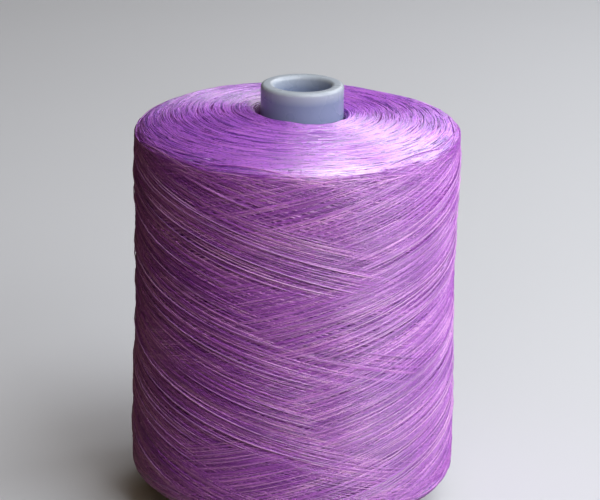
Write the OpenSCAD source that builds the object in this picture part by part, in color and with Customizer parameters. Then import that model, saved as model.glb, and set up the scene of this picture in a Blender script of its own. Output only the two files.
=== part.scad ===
// Spool of thread: one thread wound back and forth over a straight plastic tube.
// +Z runs up the tube, and the origin is the centre of its lower end.

/* [Tube] */
// Length of the tube
tube_len = 116; // [113:0.5:150]
// Outside diameter of the tube
tube_d = 21.8; // [19.6:0.1:26]
// Bore through the tube, which drops over a spool pin
bore_d = 15; // [8:0.1:17]
// Radius on the outer edge of each rim
rim_edge_r = 1; // [0.4:0.1:1.3]
// Radius on the bore's edge at each rim
bore_edge_r = 0.8; // [0.4:0.1:1.3]

/* [Thread package] */
// Height of the wound layers, from their lowest turn to their upper crest
package_h = 102.2; // [80:0.2:106]
// Tube left bare below the thread
foot_h = 7; // [2:0.1:9]
// Diameter over the outer turns, half way up
waist_d = 85; // [60:0.5:110]
// How much wider the package is over its upper shoulder
top_swell = 0.6; // [0:0.1:3]
// How much wider the package is over its lower shoulder
bottom_swell = 1.4; // [0:0.1:3]
// Height over which each swell fades away along the side
swell_h = 8; // [4:0.5:14]
// Rise of the domed upper end, from its shoulder to its crest
top_rise = 5.8; // [4:0.1:12]
// Drop of the domed lower end, from its shoulder to its lowest turn
bottom_rise = 8.6; // [4:0.1:12]
// Fullness of the upper end, where 2 is an ellipse and more is squarer
top_fullness = 2.1; // [1.6:0.1:4]
// Fullness of the lower end
bottom_fullness = 3.4; // [1.6:0.1:4]
// Width of the trough between the tube and each end's crest
trough_w = 2.4; // [1:0.1:5]
// Depth of that trough
trough_depth = 2; // [0.5:0.1:3.5]
// Clearance between the tube and the first layer of thread
seat_gap = 0.02; // [0.01:0.01:0.1]

/* [Outer turns] */
// Diameter of the thread
thread_d = 0.3; // [0.2:0.02:0.5]
// Number of times that the outer layer runs up the package and down again
double_runs = 8; // [4, 6, 8]
// Clear gap between the upward runs and the downward runs that cross them
cross_gap = 0.42; // [0.42:0.02:0.8]
// Clearance between the turns and the layers below them
lay_gap = 0.05; // [0.02:0.01:0.1]
// Angle on each side of a reversal over which the thread turns back
turn_arc = 15; // [8:1:18]

/* [End turns] */
// Number of turns that show round the domed upper end
end_turns = 6; // [3:1:7]
// Distance from the crest out to the innermost end turn
end_inset = 1.2; // [0.8:0.1:3]
// Distance from the shoulder in to the outermost end turn
end_margin = 3.6; // [3:0.1:6]

/* [Hidden] */
$fn = 96;

tube_color = [0.65, 0.69, 0.76];
inner_color = [0.56, 0.34, 0.67];
outer_color = [0.76, 0.55, 0.86];
end_color = [0.87, 0.75, 0.93];

// Steps of the outlines and of the swept thread
edge_steps = 6;
end_steps = 14;
fade_steps = 8;
rings_per_turn = 24;
thread_sides = 6;
slope_step = 0.05;

// Turns in one run up and down, which falls short of whole turns so that the next lies beside it
whole_turns = 3;
double_turns = whole_turns - 1 / double_runs;
half_run = 180 * double_turns;
// Rings by which the thread stops short, so that its two ends lie apart
end_shortfall = 4;
start_angle = 120;
ring_angle = 360 / rings_per_turn;
// Rings on each side of one that count as next to it when the gap between turns is measured
next_rings = 4;
// A straight step between two rings passes this share of their radius from the axis
chord = cos(ring_angle / 2);

tube_r = tube_d / 2;
bore_r = bore_d / 2;
seat_r = tube_r + seat_gap;
crest_r = seat_r + trough_w;
crest_z = foot_h + package_h;
top_z = crest_z - top_rise;
bottom_z = foot_h + bottom_rise;
waist_r = layers_r(waist_d);
top_r = layers_r(waist_d + top_swell);
bottom_r = layers_r(waist_d + bottom_swell);

// Distances from each shoulder along the side, over which its swell fades
fade_marks = [for (i = [1 : fade_steps]) 2 * swell_h * i / fade_steps];

// Radius of the layers under the outer turns, from the diameter over those turns
function layers_r(d) = (d / 2 - thread_d / 2) * chord - thread_d - cross_gap - lay_gap - thread_d / 2;

// Radius of an upward run's centre line over layers of radius r
function upward_r(r) = (r + lay_gap + thread_d / 2) / chord;

// Radius of a downward run's centre line, whose rings line up with those of the upward runs inside it
function downward_r(r) = upward_r(r) + (thread_d + cross_gap) / chord;

// Share of a swell that is left at a distance along the side
function fade(h) = exp(-pow(h / swell_h, 2));

// Radius of the layers' side at a height
function side_r(z) =
    waist_r + (top_r - waist_r) * fade(top_z - z) + (bottom_r - waist_r) * fade(z - bottom_z);

// Height of the domed upper end above its shoulder at a radius, and its slope there
function dome_h(r) =
    top_rise * pow(1 - pow((r - crest_r) / (top_r - crest_r), top_fullness), 1 / top_fullness);
function dome_slope(r) = (dome_h(r + slope_step) - dome_h(r - slope_step)) / (2 * slope_step);

// Points of a quarter circle about a centre, from an angle on
function arc(x, y, r, from) = [
    for (i = [0 : edge_steps])
        let (a = from + 90 * i / edge_steps)
        [x + r * cos(a), y + r * sin(a)]
];

// Half of an end's outline, from the crest to the shoulder, as radius and height above the shoulder
function dome(r, rise, fullness) = [
    for (i = [0 : end_steps])
        let (a = 90 * i / end_steps)
        [crest_r + (r - crest_r) * pow(sin(a), 2 / fullness), rise * pow(cos(a), 2 / fullness)]
];

// The trough's outline, from the tube to just short of the crest, as radius and drop below the crest
trough = [
    for (i = [0 : edge_steps - 1])
        let (a = 90 * i / edge_steps)
        [seat_r + trough_w * (1 - cos(a)), trough_depth * (1 - sin(a))]
];

function backwards(points) = [for (i = [len(points) - 1 : -1 : 0]) points[i]];
function unit(v) = v / norm(v);
function around(r, angle, z) = [r * cos(angle), r * sin(angle), z];

// Angle passed since the present run up and down began, at a ring counted from the thread's start
function run_angle(i) = (i * ring_angle) % (2 * half_run);

// Share of the side's height reached at an angle into the run, with rounded reversals
function height_share(a) =
    let (t = 1 - abs(a / half_run - 1), e = turn_arc / half_run)
    (t < e ? t * t / (2 * e) : t > 1 - e ? 1 - e - (1 - t) * (1 - t) / (2 * e) : t - e / 2) / (1 - e);

// Step from 0 to 1 across a reversal, at an angle past it
function ramp(a) = min(max(0.5 + a / (2 * turn_arc), 0), 1);

// How far the thread lies from the upward runs' radius, 0, to the downward runs' radius, 1
function outward_share(a) = max(ramp(-a), min(ramp(a - half_run), ramp(2 * half_run - a)));

// Point of the outer thread at a ring counted from its start
function side_point(i) =
    let (a = run_angle(i), out = outward_share(a))
    let (z = bottom_z + (top_z - bottom_z) * height_share(a), r = side_r(z))
    around(upward_r(r) * (1 - out) + downward_r(r) * out, start_angle + i * ring_angle, z);

// Point on the package's side where an end of the outer thread goes in, square to the side
function side_foot(p) = unit([p.x, p.y, 0]) * (side_r(p.z) + lay_gap) + [0, 0, p.z];

// Angle and radius of the end turns at a ring counted from the innermost
function end_angle(i) = start_angle + i * ring_angle;
function end_r(i) =
    let (share = i / (rings_per_turn * end_turns))
    (crest_r + end_inset) * (1 - share) + (top_r - end_margin) * share;

// Point of the end turns, high enough for the straight steps beside it to clear the dome
function end_point(i) =
    let (r = end_r(i) * chord, lift = (lay_gap + thread_d / 2) * norm([1, dome_slope(r)]))
    around(end_r(i), end_angle(i), top_z + dome_h(r) + lift);

// Where an end of these turns goes in, square to the dome, and the point one thread's diameter out of it
function end_normal(i) = unit(around(-dome_slope(end_r(i)), end_angle(i), 1));
function end_foot(i) =
    around(end_r(i), end_angle(i), top_z + dome_h(end_r(i))) + end_normal(i) * lay_gap;
function end_knee(i) = end_foot(i) + end_normal(i) * thread_d;

outer_rings = round(rings_per_turn * double_turns * double_runs) - end_shortfall;
side_points = [for (i = [0 : outer_rings]) side_point(i)];
outer_path = concat([side_foot(side_points[0])], side_points, [side_foot(side_points[outer_rings])]);

end_rings = rings_per_turn * end_turns;
end_points = [for (i = [1 : end_rings - 1]) end_point(i)];
end_path = concat([end_foot(0), end_knee(0)], end_points, [end_knee(end_rings), end_foot(end_rings)]);

// A path's rings and the middles between them, where its turns cross
function halved(path) = [
    for (i = [0 : 2 * (len(path) - 1)])
        (path[floor(i / 2)] + path[ceil(i / 2)]) / 2
];

// Least clear gap from a path's first rings to the rest of it, beyond the rings next to each
function least_gap(path, first) =
    let (points = halved(path))
    min([
        for (i = [0 : 2 * first], j = [i + 2 * next_rings : len(points) - 1])
            norm(points[i] - points[j])
    ]) - thread_d;

// One unbroken tube of thread along a path, with each ring turned to a reference direction
module thread(path, references) {
    last = len(path) - 1;
    rings = [
        for (i = [0 : last])
            let (along = unit(path[min(i + 1, last)] - path[max(i - 1, 0)]))
            let (across = unit(cross(along, references[i])), up = cross(across, along))
            for (j = [0 : thread_sides - 1])
                let (a = 360 * j / thread_sides)
                path[i] + (across * cos(a) + up * sin(a)) * thread_d / 2
    ];
    walls = [
        for (i = [0 : last - 1], j = [0 : thread_sides - 1])
            let (a = i * thread_sides + j, b = i * thread_sides + (j + 1) % thread_sides)
            each [[a, b, a + thread_sides], [b, b + thread_sides, a + thread_sides]]
    ];
    end = last * thread_sides;
    caps = [
        for (j = [1 : thread_sides - 2])
            each [[0, j + 1, j], [end, end + j, end + j + 1]]
    ];
    polyhedron(points = rings, faces = concat(walls, caps));
}

module core_tube() {
    color(tube_color)
        rotate_extrude()
            polygon(concat(
                arc(bore_r + bore_edge_r, bore_edge_r, bore_edge_r, 180),
                arc(tube_r - rim_edge_r, rim_edge_r, rim_edge_r, 270),
                arc(tube_r - rim_edge_r, tube_len - rim_edge_r, rim_edge_r, 0),
                arc(bore_r + bore_edge_r, tube_len - bore_edge_r, bore_edge_r, 90)
            ));
}

module thread_package() {
    color(inner_color)
        rotate_extrude()
            polygon(concat(
                [for (p = trough) [p.x, crest_z - p.y]],
                [for (p = dome(top_r, top_rise, top_fullness)) [p.x, top_z + p.y]],
                [for (h = fade_marks) [side_r(top_z - h), top_z - h]],
                [for (h = backwards(fade_marks)) [side_r(bottom_z + h), bottom_z + h]],
                [for (p = backwards(dome(bottom_r, bottom_rise, bottom_fullness))) [p.x, bottom_z - p.y]],
                [for (p = backwards(trough)) [p.x, foot_h + p.y]]
            ));
}

module outer_winding() {
    gap = least_gap(side_points, rings_per_turn * double_turns);
    echo(str("Least gap of the outer winding to itself: ", gap, " mm"));
    color(outer_color) thread(outer_path, [for (p = outer_path) [0, 0, 1]]);
}

module end_winding() {
    gap = least_gap(end_points, len(end_points) - 1);
    echo(str("Least gap of the end winding to itself: ", gap, " mm"));
    color(end_color) thread(end_path, [for (p = end_path) unit([p.x, p.y, 0])]);
}

core_tube();
thread_package();
outer_winding();
end_winding();
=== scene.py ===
import math

import bpy
import numpy as np
from mathutils import Matrix, Vector


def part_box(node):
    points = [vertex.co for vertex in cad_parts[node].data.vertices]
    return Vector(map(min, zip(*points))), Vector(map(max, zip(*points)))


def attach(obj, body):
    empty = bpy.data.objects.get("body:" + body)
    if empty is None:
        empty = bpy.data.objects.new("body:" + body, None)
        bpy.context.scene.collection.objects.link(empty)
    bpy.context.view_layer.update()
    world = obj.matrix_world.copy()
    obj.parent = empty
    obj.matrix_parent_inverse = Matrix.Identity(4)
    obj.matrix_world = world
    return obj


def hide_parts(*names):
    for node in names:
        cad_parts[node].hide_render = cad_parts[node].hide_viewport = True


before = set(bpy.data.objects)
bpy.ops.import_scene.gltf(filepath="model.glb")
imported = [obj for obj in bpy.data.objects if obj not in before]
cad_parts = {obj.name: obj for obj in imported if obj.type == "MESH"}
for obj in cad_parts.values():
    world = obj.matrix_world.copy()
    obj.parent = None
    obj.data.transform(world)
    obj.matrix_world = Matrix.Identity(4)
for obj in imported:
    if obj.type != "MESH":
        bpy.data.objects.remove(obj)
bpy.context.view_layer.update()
bpy.ops.object.select_all(action="DESELECT")
mm = 0.001
print("frame loaded, nodes:", sorted(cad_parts))

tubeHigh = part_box("core_tube")[1]
packLow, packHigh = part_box("thread_package")
tubeR = tubeHigh.x
tubeTop = tubeHigh.z


# Shader maths: a Wire is one output socket, and sums and products of wires become Math nodes
class Wire:
    def __init__(self, finish, node, output=0):
        self.finish = finish
        self.node = node
        self.socket = node.outputs[output]

    def out(self, name):
        return Wire(self.finish, self.node, name)

    def maths(self, operation, other):
        return self.finish.add("ShaderNodeMath", {"operation": operation}, {0: self, 1: other})

    def __add__(self, other):
        return self.maths("ADD", other)

    def __mul__(self, other):
        return self.maths("MULTIPLY", other)

    __radd__ = __add__
    __rmul__ = __mul__


class Finish:
    def __init__(self, tree):
        self.tree = tree

    # Any node: its settings first, then the values or wires of its sockets
    def add(self, kind, settings=None, sockets=None):
        node = self.tree.nodes.new(kind)
        for key, value in (settings or {}).items():
            if key == "stops":
                self.setRamp(node.color_ramp.elements, value)
            else:
                setattr(node, key, value)
        self.join(node, sockets or {})
        return Wire(self, node)

    # A new ramp holds two stops already
    def setRamp(self, ramp, stops):
        for i, (place, colour) in enumerate(stops):
            stop = ramp[i] if i < 2 else ramp.new(place)
            stop.position = place
            stop.color = colour

    def join(self, node, sockets):
        for key, value in sockets.items():
            if isinstance(value, Wire):
                self.tree.links.new(value.socket, node.inputs[key])
            else:
                node.inputs[key].default_value = value

    # Blend of two colours by a factor, whose sockets go by number because their names repeat
    def blend(self, factor, first, second):
        settings = {"data_type": "RGBA", "clamp_factor": True}
        mix = self.add("ShaderNodeMix", settings, {0: factor, 6: first, 7: second})
        return Wire(self, mix.node, 2)

    def noise(self, coords, scale, detail):
        return self.add("ShaderNodeTexNoise", {}, {"Vector": coords, "Scale": scale, "Detail": detail})

    # From 0 at the first value to 1 at the last
    def rise(self, value, first, last):
        sockets = {"Value": value, "From Min": first, "From Max": last}
        return self.add("ShaderNodeMapRange", {}, sockets)


def newMaterial(name):
    material = bpy.data.materials.new(name)
    material.use_nodes = True
    finish = Finish(material.node_tree)
    return material, finish, material.node_tree.nodes["Principled BSDF"]


# Linear colour from the eight-bit values that a colour picker shows
def tint(red, green, blue):
    linear = []
    for value in (red, green, blue):
        share = value / 255
        linear.append(((share + 0.055) / 1.055) ** 2.4 if share > 0.04045 else share / 12.92)
    return (*linear, 1.0)


# Camera
view = {
    "distance": 680 * mm,
    "elevation": 18.6,  # degrees
    "aimHeight": 70.2 * mm,
    "aimAside": 0.02 * mm,
    "roll": 0.0155,  # radians
    "lens": 153.2,
    "sensor": 36,
    "near": 0.01,
    "far": 20,
}
pitch = math.radians(view["elevation"])
aim = Vector((view["aimAside"], 0, view["aimHeight"]))
eye = aim + Vector((0, -math.cos(pitch), math.sin(pitch))) * view["distance"]
bpy.ops.object.camera_add(location=eye)
camera = bpy.context.object
camera.name = "mainCamera"
camera.data.lens = view["lens"]
camera.data.sensor_width = view["sensor"]
camera.data.clip_start = view["near"]
camera.data.clip_end = view["far"]
turn = (aim - eye).to_track_quat("-Z", "Y").to_matrix().to_4x4()
camera.matrix_world = Matrix.Translation(eye) @ turn @ Matrix.Rotation(view["roll"], 4, "Z")
bpy.context.scene.camera = camera
print("camera placed")

# Lamps: soft white light from the right, round to the back and high up, and a weak warm lamp in front.
# Angles are in degrees, sizes in metres and power in watts
lampSet = {
    "distance": 0.9,
    "aimHeight": 60 * mm,
    "high": 0.4,
    "white": (1, 1, 1),
    "warm": (1, 0.84, 0.66),
}
lamps = [
    {"name": "frontLamp", "azimuth": -84, "elevation": 32, "wide": 0.6, "power": 0.9, "tone": "warm"},
    {"name": "keyLamp", "azimuth": -46, "elevation": 29, "wide": 0.7, "power": 3.9, "tone": "white"},
    {"name": "sideLamp", "azimuth": 4, "elevation": 28, "wide": 0.7, "power": 3.1, "tone": "white"},
    {"name": "backLamp", "azimuth": 42, "elevation": 44, "wide": 0.6, "power": 1.6, "tone": "white"},
    {"name": "lowLamp", "azimuth": 66, "elevation": 30, "wide": 0.6, "power": 1.0, "tone": "white"},
    {"name": "highLamp", "azimuth": -48, "elevation": 62, "wide": 0.6, "power": 2.9, "tone": "white"},
]
for lamp in lamps:
    swing = math.radians(lamp["azimuth"])
    lift = math.radians(lamp["elevation"])
    level = math.cos(lift)
    outward = Vector((level * math.cos(swing), level * math.sin(swing), math.sin(lift)))
    place = Vector((0, 0, lampSet["aimHeight"])) + outward * lampSet["distance"]
    bpy.ops.object.light_add(type="AREA", location=place)
    light = bpy.context.object
    light.name = lamp["name"]
    light.data.energy = lamp["power"]
    light.data.shape = "RECTANGLE"
    light.data.size = lamp["wide"]
    light.data.size_y = lampSet["high"]
    light.data.color = lampSet[lamp["tone"]]
    light.rotation_euler = (-outward).to_track_quat("-Z", "Y").to_euler()

# Room: a faint warm fill, seen as pale grey where the floor ends
room = {
    "light": 0.055,  # how strongly it lights the spool
    "seen": 0.75,  # and how strongly the camera sees it
    "mirrored": 0.03,  # and what shines mirrors it
    "fill": tint(228, 184, 110),
    "pale": tint(228, 228, 228),
}
bpy.context.scene.view_settings.view_transform = "Standard"
world = bpy.data.worlds.new("room")
bpy.context.scene.world = world
world.use_nodes = True
finish = Finish(world.node_tree)
rays = finish.add("ShaderNodeLightPath")
seen = rays.out("Is Camera Ray") * (room["seen"] - room["light"])
mirrored = rays.out("Is Glossy Ray") * (room["mirrored"] - room["light"])
strength = room["light"] + seen + mirrored
colour = finish.blend(rays.out("Is Camera Ray"), room["fill"], room["pale"])
finish.join(world.node_tree.nodes["Background"], {"Color": colour, "Strength": strength})

floorLook = {
    "size": 8.0,
    "colour": tint(224, 228, 236),
    "clouds": tint(216, 220, 228),
    "cloudShare": 0.3,
    "cloudScale": 6.0,
    "bounce": tint(120, 108, 92),  # the duller colour that it throws back on the spool
    "rough": 0.85,
}
bpy.ops.mesh.primitive_plane_add(size=floorLook["size"], location=(0, 0, 0))
ground = bpy.context.object
ground.name = "floor"
material, finish, shader = newMaterial("floorPaper")
coords = finish.add("ShaderNodeTexCoord").out("Object")
cloud = finish.noise(coords, floorLook["cloudScale"], 3.0) * floorLook["cloudShare"]
colour = finish.blend(cloud, floorLook["colour"], floorLook["clouds"])
seen = finish.add("ShaderNodeLightPath").out("Is Camera Ray")
colour = finish.blend(seen, floorLook["bounce"], colour)
finish.join(shader, {"Base Color": colour, "Roughness": floorLook["rough"]})
ground.data.materials.append(material)
print("floor and lamps placed")


# An outline turned about the tube's axis into one closed solid
def spinOutline(name, outline, steps):
    bpy.ops.object.select_all(action="DESELECT")
    start = Vector((outline[0][0], 0, outline[0][1]))
    bpy.ops.mesh.primitive_circle_add(vertices=3, radius=mm, location=(0, 0, 0))
    piece = bpy.context.object
    piece.name = name
    piece.data.name = name
    bpy.ops.object.mode_set(mode="EDIT")
    bpy.ops.mesh.select_all(action="SELECT")
    bpy.ops.mesh.merge(type="CENTER")
    bpy.ops.transform.translate(value=start)
    here = start
    for r, z in list(outline[1:]) + [outline[0]]:
        there = Vector((r, 0, z))
        bpy.ops.mesh.extrude_region_move(TRANSFORM_OT_translate={"value": there - here})
        here = there
    bpy.ops.mesh.select_all(action="SELECT")
    bpy.ops.mesh.spin(steps=steps, angle=2 * math.pi, center=(0, 0, 0), axis=(0, 0, 1))
    bpy.ops.mesh.select_all(action="SELECT")
    bpy.ops.mesh.remove_doubles(threshold=0.002 * mm)  # closes the seam
    bpy.ops.mesh.normals_make_consistent(inside=False)
    bpy.ops.object.mode_set(mode="OBJECT")
    return piece


# Points on a quarter of a circle, from an angle in degrees
def quarter(x, y, r, start, steps):
    angles = [math.radians(start + 90 * i / steps) for i in range(steps + 1)]
    return [(x + r * math.cos(a), y + r * math.sin(a)) for a in angles]


# Tube
tube = {
    "bore": 15 * mm,
    "rimEdge": 1.0 * mm,
    "boreEdge": 1.1 * mm,
    "edgeSteps": 8,
    "steps": 160,
    "smoothUpTo": 40,  # degrees
    "colour": tint(134, 148, 180),
    "shade": tint(123, 138, 172),
    "shadeShare": 0.6,
    "cloudScale": 90.0,
    "rim": tint(186, 197, 212),  # painted light: paler where the rim's top faces the lamps
    "rimDepth": 3.5 * mm,
    "rimWaver": 1 * mm,
    "rough": 0.25,
    "rougher": 0.06,  # in the cloudy parts
    "pitScale": 1400.0,
    "pitDepth": 0.1 * mm,
    "pitStrength": 0.05,
}
boreR = tube["bore"] / 2
rimEdge = tube["rimEdge"]
boreEdge = tube["boreEdge"]
edgeSteps = tube["edgeSteps"]
tubeOutline = (
    quarter(boreR + boreEdge, boreEdge, boreEdge, 180, edgeSteps)
    + quarter(tubeR - rimEdge, rimEdge, rimEdge, 270, edgeSteps)
    + quarter(tubeR - rimEdge, tubeTop - rimEdge, rimEdge, 0, edgeSteps)
    + quarter(boreR + boreEdge, tubeTop - boreEdge, boreEdge, 90, edgeSteps)
)
windingTube = spinOutline("windingTube", tubeOutline, tube["steps"])
bpy.ops.object.shade_smooth_by_angle(angle=math.radians(tube["smoothUpTo"]))
material, finish, shader = newMaterial("tubePlastic")
coords = finish.add("ShaderNodeTexCoord").out("Object")
cloud = finish.noise(coords, tube["cloudScale"], 3.0)
colour = finish.blend(cloud * tube["shadeShare"], tube["colour"], tube["shade"])
height = finish.add("ShaderNodeSeparateXYZ", {}, {"Vector": coords}).out("Z")
# Painted light: the tube is paler over its top few millimetres, where the rim faces the lamps
rimFrom = tubeTop - tube["rimDepth"] + tube["rimWaver"] / 2
rimTo = tubeTop + tube["rimWaver"] / 4
rimPaintedLight = finish.rise(height + cloud * tube["rimWaver"], rimFrom, rimTo)
colour = finish.blend(rimPaintedLight, colour, tube["rim"])
pits = finish.noise(coords, tube["pitScale"], 2.0)
pitted = {"Height": pits, "Strength": tube["pitStrength"], "Distance": tube["pitDepth"]}
bump = finish.add("ShaderNodeBump", {}, pitted)
rough = tube["rough"] + cloud * tube["rougher"]
finish.join(shader, {"Base Color": colour, "Roughness": rough, "Normal": bump})
windingTube.data.materials.append(material)
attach(windingTube, "root")
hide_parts("core_tube")
print("tube made")

# Shape of the wound package, over its outermost turns
package = {
    "waistD": 85 * mm,
    "topSwell": 0.8 * mm,
    "topSwellH": 19.6 * mm,
    "bottomSwell": 2.2 * mm,
    "bottomSwellH": 28 * mm,
    "topRise": 6.5 * mm,
    "bottomRise": 6.8 * mm,
    "topFullness": 2.05,  # of the end's curve, where 2 is an ellipse and more is squarer
    "bottomFullness": 4.0,
    "aboveCad": 0.1 * mm,
    "belowCad": 0.3 * mm,
    "troughW": 2.6 * mm,
    "troughDepth": 5.0 * mm,
    "offCentre": 1.15 * mm,  # the thread built up a little more on one side of the tube
    "offWithin": 5 * mm,
    "lean": 0.002,  # and more so further down
    "shoulder": 0.7 * mm,  # but stands a little higher at the opposite shoulder
    "shoulderH": 20 * mm,
    "slope": 0.08,  # and a little lower there, next to the tube
    "slopeWithin": 42 * mm,
    "endSteps": 90,
    "sideSteps": 120,
    "sampleEvery": 0.1 * mm,
}
thread = {"width": 0.36 * mm, "height": 0.28 * mm}
crestR = tubeR + package["troughW"]
crestZ = packHigh.z + package["aboveCad"]
footZ = packLow.z - package["belowCad"]
waistR = package["waistD"] / 2
topR = waistR + package["topSwell"] / 2
bottomR = waistR + package["bottomSwell"] / 2
topZ = crestZ - package["topRise"]
bottomZ = footZ + package["bottomRise"]


# Radius of the side, which swells towards both shoulders
def sideR(z):
    top = np.exp(-((topZ - z) / package["topSwellH"]) ** 4)
    bottom = np.exp(-((z - bottomZ) / package["bottomSwellH"]) ** 2)
    return waistR + (topR - waistR) * top + (bottomR - waistR) * bottom


# The outline from the tube over one end to its shoulder, as radius and height above the shoulder
def endOutline(shoulderR, rise, fullness):
    a = np.linspace(0, math.pi / 2, package["endSteps"])
    troughR = tubeR + package["troughW"] * (1 - np.cos(a[:-1]))
    troughZ = rise - package["troughDepth"] * (1 - np.sin(a[:-1]))
    domeR = crestR + (shoulderR - crestR) * np.sin(a) ** (2 / fullness)
    domeZ = rise * np.cos(a).clip(0) ** (2 / fullness)
    return np.concatenate([troughR, domeR]), np.concatenate([troughZ, domeZ])


# The whole outline from the tube at the upper end to the tube at the lower end, sampled evenly
topOutR, topOutZ = endOutline(topR, package["topRise"], package["topFullness"])
bottomOutR, bottomOutZ = endOutline(bottomR, package["bottomRise"], package["bottomFullness"])
sideZ = np.linspace(topZ, bottomZ, package["sideSteps"])[1:-1]
roughR = np.concatenate([topOutR, sideR(sideZ), bottomOutR[::-1]])
roughZ = np.concatenate([topZ + topOutZ, sideZ, (bottomZ - bottomOutZ)[::-1]])
lengths = np.concatenate([[0], np.cumsum(np.hypot(np.diff(roughR), np.diff(roughZ)))])
topS = lengths[len(topOutR) - 1]
bottomS = lengths[-len(bottomOutR)]
skinS = np.arange(0, lengths[-1], package["sampleEvery"])
skinR = np.interp(skinS, lengths, roughR)
skinZ = np.interp(skinS, lengths, roughZ)
aheadR = np.gradient(skinR)
aheadZ = np.gradient(skinZ)
skinOutR = -aheadZ / np.hypot(aheadR, aheadZ)
skinOutZ = aheadR / np.hypot(aheadR, aheadZ)


# Radius, height and outward direction at a length along the outline
def skinAt(s):
    return [np.interp(s, skinS, values) for values in (skinR, skinZ, skinOutR, skinOutZ)]


# Moves points of the package to where the thread built up, from nothing at the tube
def settle(points):
    x = points[..., 0].copy()
    z = points[..., 2].copy()
    r = np.hypot(x, points[..., 1])
    off = package["offCentre"] + package["lean"] * (topZ - z)
    points[..., 0] -= off * ((r - tubeR) / package["offWithin"]).clip(0, 1)
    fuller = (2 * x / waistR - 1).clip(0, 1) ** 2 * ((z - topZ) / package["shoulderH"] + 1).clip(0, 1)
    points[..., 2] += package["shoulder"] * fuller
    upper = z > (topZ + bottomZ) / 2
    points[..., 2] -= package["slope"] * x * (1 - r / package["slopeWithin"]).clip(0, 1) * upper
    return points


# Core of the package, which shows only as the dark ground between the turns: the thread's colour with
# painted shade, darker than its dye
core = {
    "sideDepth": 1.3 * mm,
    "endDepth": 0.75 * mm,
    "depthWithin": 2 * mm,
    "endSteps": 22,
    "sideSteps": 16,
    "steps": 128,
    "smoothUpTo": 50,  # degrees
    # Both colours are painted shade: the thread's purple darkened for the gaps between turns
    "dark": tint(108, 36, 132),
    "pale": tint(138, 52, 162),
    "cloudScale": 60.0,
    "rough": 0.6,
}
coreS = np.concatenate([
    np.linspace(0, topS, core["endSteps"]),
    np.linspace(topS, bottomS, core["sideSteps"])[1:-1],
    np.linspace(bottomS, skinS[-1], core["endSteps"]),
])
r, z, outR, outZ = skinAt(coreS)
depth = core["endDepth"] + (core["sideDepth"] - core["endDepth"]) * outR.clip(0) ** 2
depth = depth * np.clip((r - tubeR) / core["depthWithin"], 0, 1)
coreOutline = list(zip(r - outR * depth, z - outZ * depth))
woundCore = spinOutline("woundCore", coreOutline, core["steps"])
corePoints = np.array([vertex.co for vertex in woundCore.data.vertices])
woundCore.data.vertices.foreach_set("co", settle(corePoints).ravel())
bpy.ops.object.shade_smooth_by_angle(angle=math.radians(core["smoothUpTo"]))
material, finish, shader = newMaterial("innerThreadPaintedShade")
coords = finish.add("ShaderNodeTexCoord").out("Object")
cloud = finish.noise(coords, core["cloudScale"], 3.0)
colour = finish.blend(cloud, core["dark"], core["pale"])
finish.join(shader, {"Base Color": colour, "Roughness": core["rough"]})
woundCore.data.materials.append(material)
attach(woundCore, "root")
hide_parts("thread_package")
print("core made")

# Dye, which changes along the thread, with painted shade in patches of the package and painted light
# on proud turns
dye = {
    "slow": 5.0,  # changes in a metre of thread
    "quick": 160.0,  # and smaller ones
    "quickShare": 0.25,
    "middleAt": 0.50,
    "palestAt": 0.64,
    "patchScale": 75.0,
    "patchFlatter": 2.4,  # how much wider than high a patch is
    "patchFrom": 0.5,
    "patchTo": 0.68,
    # How strongly a proud turn is painted paler, as painted light
    "lift": 0.4,
    "throughDepth": 0.2 * mm,  # how far light spreads inside the thread
}
outerLook = {
    "darkUpTo": 0.36,
    "darkest": tint(148, 60, 188),
    "middle": tint(190, 96, 224),
    "palest": tint(234, 166, 248),
    "proudPaintedLight": tint(242, 196, 250),  # painted light, where a turn stands proud and catches more light
    "paintedShadePatches": 0.4,
    "rough": 0.28,
    "mirror": 1.95,  # index of refraction, which sets the sheen
    "through": 0.5,  # share of the light that goes into the thread
}
endLook = {
    "darkUpTo": 0.42,
    "darkest": tint(130, 52, 190),
    "middle": tint(208, 112, 255),
    "palest": tint(222, 138, 250),
    "proudPaintedLight": tint(242, 196, 250),
    "paintedShadePatches": 0.3,
    "rough": 0.36,
    "mirror": 2.6,
    "through": 0.5,
}


def threadMaterial(name, look):
    material, finish, shader = newMaterial(name)
    along = finish.add("ShaderNodeAttribute", {"attribute_name": "along"}).out("Fac")
    line = {"noise_dimensions": "1D"}
    slow = finish.add("ShaderNodeTexNoise", line, {"W": along * dye["slow"], "Detail": 1.0})
    quick = finish.add("ShaderNodeTexNoise", line, {"W": along * dye["quick"], "Detail": 1.0})
    mix = slow * (1 - dye["quickShare"]) + quick * dye["quickShare"]
    stops = [
        (look["darkUpTo"], look["darkest"]),
        (dye["middleAt"], look["middle"]),
        (dye["palestAt"], look["palest"]),
    ]
    colour = finish.add("ShaderNodeValToRGB", {"stops": stops}, {0: mix})
    coords = finish.add("ShaderNodeTexCoord").out("Object")
    flatter = {"Vector": coords, "Scale": (1.0, 1.0, dye["patchFlatter"])}
    # Painted shade: patches darkened towards the darkest dye, where turns catch less sheen
    cloud = finish.noise(finish.add("ShaderNodeMapping", {}, flatter), dye["patchScale"], 2.0)
    patch = finish.rise(cloud, dye["patchFrom"], dye["patchTo"])
    colour = finish.blend(patch * look["paintedShadePatches"], colour, look["darkest"])
    # Painted light: a proud turn is paler, as if it caught more light than its neighbours
    proud = finish.add("ShaderNodeAttribute", {"attribute_name": "proud"}).out("Fac")
    colour = finish.blend(proud * dye["lift"], colour, look["proudPaintedLight"])
    finish.join(shader, {
        "Base Color": colour,
        "Roughness": look["rough"],
        "IOR": look["mirror"],
        "Specular IOR Level": 1.0,
        "Subsurface Weight": look["through"],
        "Subsurface Radius": (1, 1, 1),
        "Subsurface Scale": dye["throughDepth"],
    })
    shader.subsurface_method = "BURLEY"
    return material


outerThread = threadMaterial("outerThread", outerLook)
endThread = threadMaterial("endThread", endLook)


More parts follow.
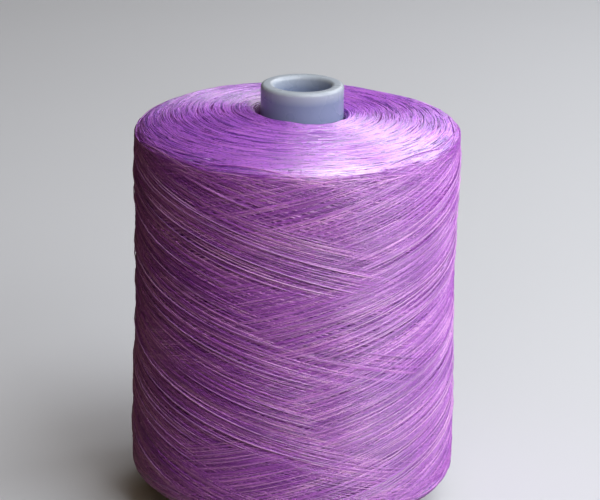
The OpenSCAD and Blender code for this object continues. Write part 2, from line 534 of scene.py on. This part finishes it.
# Thread laid along routes as closed three-sided strands. Each array is strands x rings: the points of
# the route, the directions out of the package, the length along the thread and how proud it stands
def layThread(name, route, outward, along, proud, material):
    strands, rings = route.shape[:2]
    route = settle(route)
    ahead = np.gradient(route, axis=1)
    ahead /= np.linalg.norm(ahead, axis=2, keepdims=True)
    across = np.cross(ahead, outward)
    across /= np.linalg.norm(across, axis=2, keepdims=True)
    up = np.cross(across, ahead)
    corners = [(1, -0.5), (0, 0.5), (-1, -0.5)]
    sides = [route + across * x * thread["width"] / 2 + up * y * thread["height"] for x, y in corners]
    points = np.stack(sides, axis=2).reshape(-1, 3)
    first = (np.arange(strands)[:, None] * rings + np.arange(rings - 1)).reshape(-1, 1) * 3
    j = np.arange(3)
    k = (j + 1) % 3
    walls = np.stack([first + j, first + j + 3, first + k + 3, first + k], axis=2).reshape(-1, 4)
    starts = np.arange(strands)[:, None] * rings * 3
    caps = np.concatenate([starts + j, starts + (rings - 1) * 3 + j[::-1]])
    mesh = bpy.data.meshes.new(name)
    mesh.vertices.add(len(points))
    mesh.vertices.foreach_set("co", points.astype(np.float32).ravel())
    mesh.loops.add(walls.size + caps.size)
    order = np.concatenate([walls.ravel(), caps.ravel()])
    mesh.loops.foreach_set("vertex_index", order.astype(np.int32))
    mesh.polygons.add(len(walls) + len(caps))
    wallStarts = np.arange(len(walls)) * 4
    capStarts = walls.size + np.arange(len(caps)) * 3
    mesh.polygons.foreach_set("loop_start", np.concatenate([wallStarts, capStarts]).astype(np.int32))
    mesh.update(calc_edges=True)
    mesh.shade_smooth()
    for label, values in (("along", along), ("proud", proud)):
        attribute = mesh.attributes.new(label, "FLOAT", "POINT")
        attribute.data.foreach_set("value", np.repeat(values.astype(np.float32).ravel(), 3))
    mapStrands(mesh, strands, rings - 1)
    piece = bpy.data.objects.new(name, mesh)
    bpy.context.scene.collection.objects.link(piece)
    mesh.materials.append(material)
    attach(piece, "root")
    print(name, "laid:", strands, "strands,", len(walls) * 2 + len(caps), "triangles")
    return piece


# Map of a strand mesh: one cell for each length between rings, which its three sides share
def mapStrands(mesh, strands, spans):
    cells = strands * spans
    columns = math.ceil(math.sqrt(cells))
    cell = np.arange(cells)
    corner = np.stack([cell % columns, cell // columns], axis=1)[:, None, None]
    square = np.array([(0.06, 0.06), (0.94, 0.06), (0.94, 0.94), (0.06, 0.94)])
    walls = np.broadcast_to(corner + square, (cells, 3, 4, 2))
    startCaps = corner[::spans, 0] + square[:3]
    endCaps = corner[spans - 1 :: spans, 0] + square[:3]
    places = np.concatenate([walls.reshape(-1, 2), startCaps.reshape(-1, 2), endCaps.reshape(-1, 2)])
    layer = mesh.uv_layers.new(name="OFBake")
    layer.data.foreach_set("uv", (places / columns).astype(np.float32).ravel())


# Cross-wound turns of the side, each layer one unbroken thread
winding = {
    "layers": 3,
    "seed": 11,
    "runs": 210,  # up and down again
    "turns": 2.382,  # in one run up and down, so that the runs spread evenly round the package
    "step": 6.5,  # degrees from ring to ring
    "endSteps": (0, 3, 7, 12, 18),  # degrees from the end of a run to its first rings
    "turnBack": 16,  # degrees over which a run turns back
    "layerDepth": 0.28 * mm,
    "layerTurn": 37,  # degrees from layer to layer
    "layerLength": 40,  # metres of dye from layer to layer
    "spread": 0.9,  # of the even gap, by which the ends of the runs are off
    "overShoulder": -0.5 * mm,  # how far a run goes on past the shoulder, or stops short of it
    "overLayer": 0.7 * mm,  # and more in each layer below
    "overUneven": 0.9 * mm,
    "farShare": 0.15,  # of the runs go further still
    "farBy": 2.2 * mm,
    "wave": 0.3 * mm,
    "wavesPerTurn": (1.2, 3.0),
    "wobble": 0.025 * mm,  # how far a turn rises and sinks among its neighbours
    "patch": 0.11 * mm,  # how far the runs of one direction rise over the other in patches
    "uneven": 0.14 * mm,  # how much deeper one run lies than another
    "proudShare": 0.24,  # of the runs stand proud over a part of their length
    "proudBy": 0.4 * mm,
    "proudLength": (0.04, 0.16),  # as shares of a run
}


# Where the upward runs lie over the downward ones, from 1 to -1
def patchField(a, z):
    bands = np.sin(3 * a + 260 * z + 1) + np.sin(2 * a - 190 * z + 4) + np.sin(5 * a + 120 * z + 2)
    return np.tanh(1.2 * bands + 4 * np.cos(a))


# Shares of one run at its rings, and how much of the climb is done there: it eases in and out
def climbOfRun(half):
    endSteps = np.array(winding["endSteps"])
    plain = half - 2 * endSteps[-1]
    middle = np.linspace(endSteps[-1], half - endSteps[-1], int(plain / winding["step"]))[1:-1]
    shares = np.concatenate([endSteps, middle, half - endSteps[::-1]])[:-1] / half
    e = winding["turnBack"] / half
    easeIn = shares**2 / (2 * e)
    easeOut = 1 - e - (1 - shares) ** 2 / (2 * e)
    climb = np.where(shares < e, easeIn, np.where(shares > 1 - e, easeOut, shares - e / 2)) / (1 - e)
    return shares, climb


def windLayer(layer):
    chance = np.random.default_rng(winding["seed"] + layer)
    half = winding["turns"] * 180
    shares, climb = climbOfRun(half)
    inside = np.clip(4 * np.sin(math.pi * shares), 0, 1)  # nothing happens where a run turns back
    runs = winding["runs"] * 2
    jitter = chance.uniform(-1, 1, runs + 1) * 360 / runs * winding["spread"]
    over = chance.normal(0, winding["overUneven"], runs + 1)
    over = over + winding["overShoulder"] + winding["overLayer"] * layer
    over[chance.uniform(0, 1, runs + 1) < winding["farShare"]] += winding["farBy"]
    angles, places, ways, prouds, sunks = [], [], [], [], []
    for run in range(runs):
        way = 1 if run % 2 == 0 else -1
        a = half * run + jitter[run] + (half + jitter[run + 1] - jitter[run]) * shares
        ends = [bottomS + over[run], topS - over[run + 1]]
        if way < 0:
            ends = [topS - over[run], bottomS + over[run + 1]]
        waves = chance.uniform(*winding["wavesPerTurn"])
        wave = np.sin(np.radians(a * waves) + chance.uniform(0, 6.3))
        places.append(ends[0] + (ends[1] - ends[0]) * climb + inside * wave * winding["wave"])
        proud = chance.uniform(0, 1) < winding["proudShare"]
        where = (shares - chance.uniform(0, 1)) / chance.uniform(*winding["proudLength"])
        prouds.append(proud * inside * np.exp(-(where**4)))
        sunks.append(chance.uniform(0, 1) * inside)
        ways.append(way * inside)
        angles.append(a)
    a = np.radians(np.concatenate(angles) + winding["layerTurn"] * layer)
    r, z, outR, outZ = skinAt(np.concatenate(places))
    lead = np.concatenate(ways) * patchField(a, z)
    wobble = np.convolve(chance.normal(0, 1.6, len(a)), [0.25, 0.5, 0.25], "same").clip(-2, 2)
    level = winding["patch"] * lead + winding["wobble"] * wobble
    level -= winding["uneven"] * np.concatenate(sunks)
    proud = np.concatenate(prouds) * (0.5 + 0.5 * lead)
    level += winding["proudBy"] * proud
    level -= thread["height"] / 2 + winding["patch"] + layer * winding["layerDepth"]
    r = r + outR * level
    z = z + outZ * level
    route = np.stack([r * np.cos(a), r * np.sin(a), z], axis=1)[None]
    outward = np.stack([outR * np.cos(a), outR * np.sin(a), outZ], axis=1)[None]
    steps = np.linalg.norm(np.diff(route[0], axis=0), axis=1)
    along = np.concatenate([[0], np.cumsum(steps)])[None] + winding["layerLength"] * layer
    return layThread(f"sideTurns{layer + 1}", route, outward, along, proud[None], outerThread)


for layer in range(winding["layers"]):
    piece = windLayer(layer)
    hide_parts("outer_winding")

# Turns that show over the ends: short arcs, where the thread turned back in the layers below
endTurns = {
    "topSeed": 31,
    "bottomSeed": 32,
    "fromTube": 2.5 * mm,  # along the outline, where the innermost arcs of the upper end lie
    "pastShoulder": 0.5 * mm,
    "arcs": 4800,
    "rings": 7,
    "half": 11 * mm,  # length of half an arc
    "unevenHalf": (0.7, 1.3),
    "longestHalf": 0.8,  # as a share of the arc's radius
    "dive": 0.4 * mm,  # how far the ends of an arc sink
    "lift": 0.24 * mm,  # how much higher one arc lies than another
    "tilt": 0.035,  # radians, by which arcs cross each other
    "ridge": 0.3 * mm,
    "ridgeW": 0.9 * mm,
    "ridgesRound": 22,
    "ridgeSkew": 0.37,
    "dyeLength": 60,  # metres of thread that the arcs' dye comes from
}


# Long ridges that the turns of an end heap up to, from -1 to 1
def ridgeField(a, s, chance):
    ridges = endTurns["ridgesRound"]
    rows = int(skinS[-1] / endTurns["ridgeW"]) + 2
    grid = chance.uniform(-1, 1, (rows, ridges))
    row = s / endTurns["ridgeW"]
    column = (a / (2 * math.pi) * ridges + row * endTurns["ridgeSkew"]) % ridges
    i = np.floor(row).astype(int)
    j = np.floor(column).astype(int)
    p = row - i
    q = column - j
    p = p * p * (3 - 2 * p)
    q = q * q * (3 - 2 * q)
    wrap = (j + 1) % ridges
    near = grid[i, j] * (1 - q) + grid[i, wrap] * q
    far = grid[i + 1, j] * (1 - q) + grid[i + 1, wrap] * q
    return near * (1 - p) + far * p


def windEnd(name, firstS, lastS, seed):
    chance = np.random.default_rng(seed)
    count = endTurns["arcs"]
    marks = np.linspace(firstS, lastS, 400)
    area = np.cumsum(skinAt(marks)[0])
    s = np.interp(chance.uniform(0, 1, count), area / area[-1], marks)[:, None]
    middle = chance.uniform(0, 2 * math.pi, count)[:, None]
    u = np.linspace(-1, 1, endTurns["rings"])[None]
    middleR = skinAt(s)[0]
    half = endTurns["half"] * chance.uniform(*endTurns["unevenHalf"], count)[:, None]
    half = np.minimum(half, middleR * endTurns["longestHalf"])
    tilt = chance.normal(0, endTurns["tilt"], count)[:, None]
    s = (s + tilt * half * u).clip(firstS, lastS)
    a = middle + half * u / middleR
    r, z, outR, outZ = skinAt(s)
    level = endTurns["lift"] * chance.uniform(-1, 0, count)[:, None] - endTurns["dive"] * u**2
    level = level - thread["height"] / 2 + endTurns["ridge"] * (ridgeField(a, s, chance) - 1)
    r = np.maximum(r + outR * level, tubeR + thread["width"] * 0.55)  # just clear of the tube
    z = z + outZ * level
    route = np.stack([r * np.cos(a), r * np.sin(a), z], axis=2)
    outward = np.stack([outR * np.cos(a), outR * np.sin(a), outZ + 0 * a], axis=2)
    along = chance.uniform(0, endTurns["dyeLength"], count)[:, None] + half * u
    return layThread(name, route, outward, along, 0 * along, endThread)


pastShoulder = endTurns["pastShoulder"]
topTurns = windEnd("topTurns", endTurns["fromTube"], topS + pastShoulder, endTurns["topSeed"])
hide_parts("end_winding")
bottomTurns = windEnd("bottomTurns", bottomS - pastShoulder, skinS[-1], endTurns["bottomSeed"])
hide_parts("thread_package")
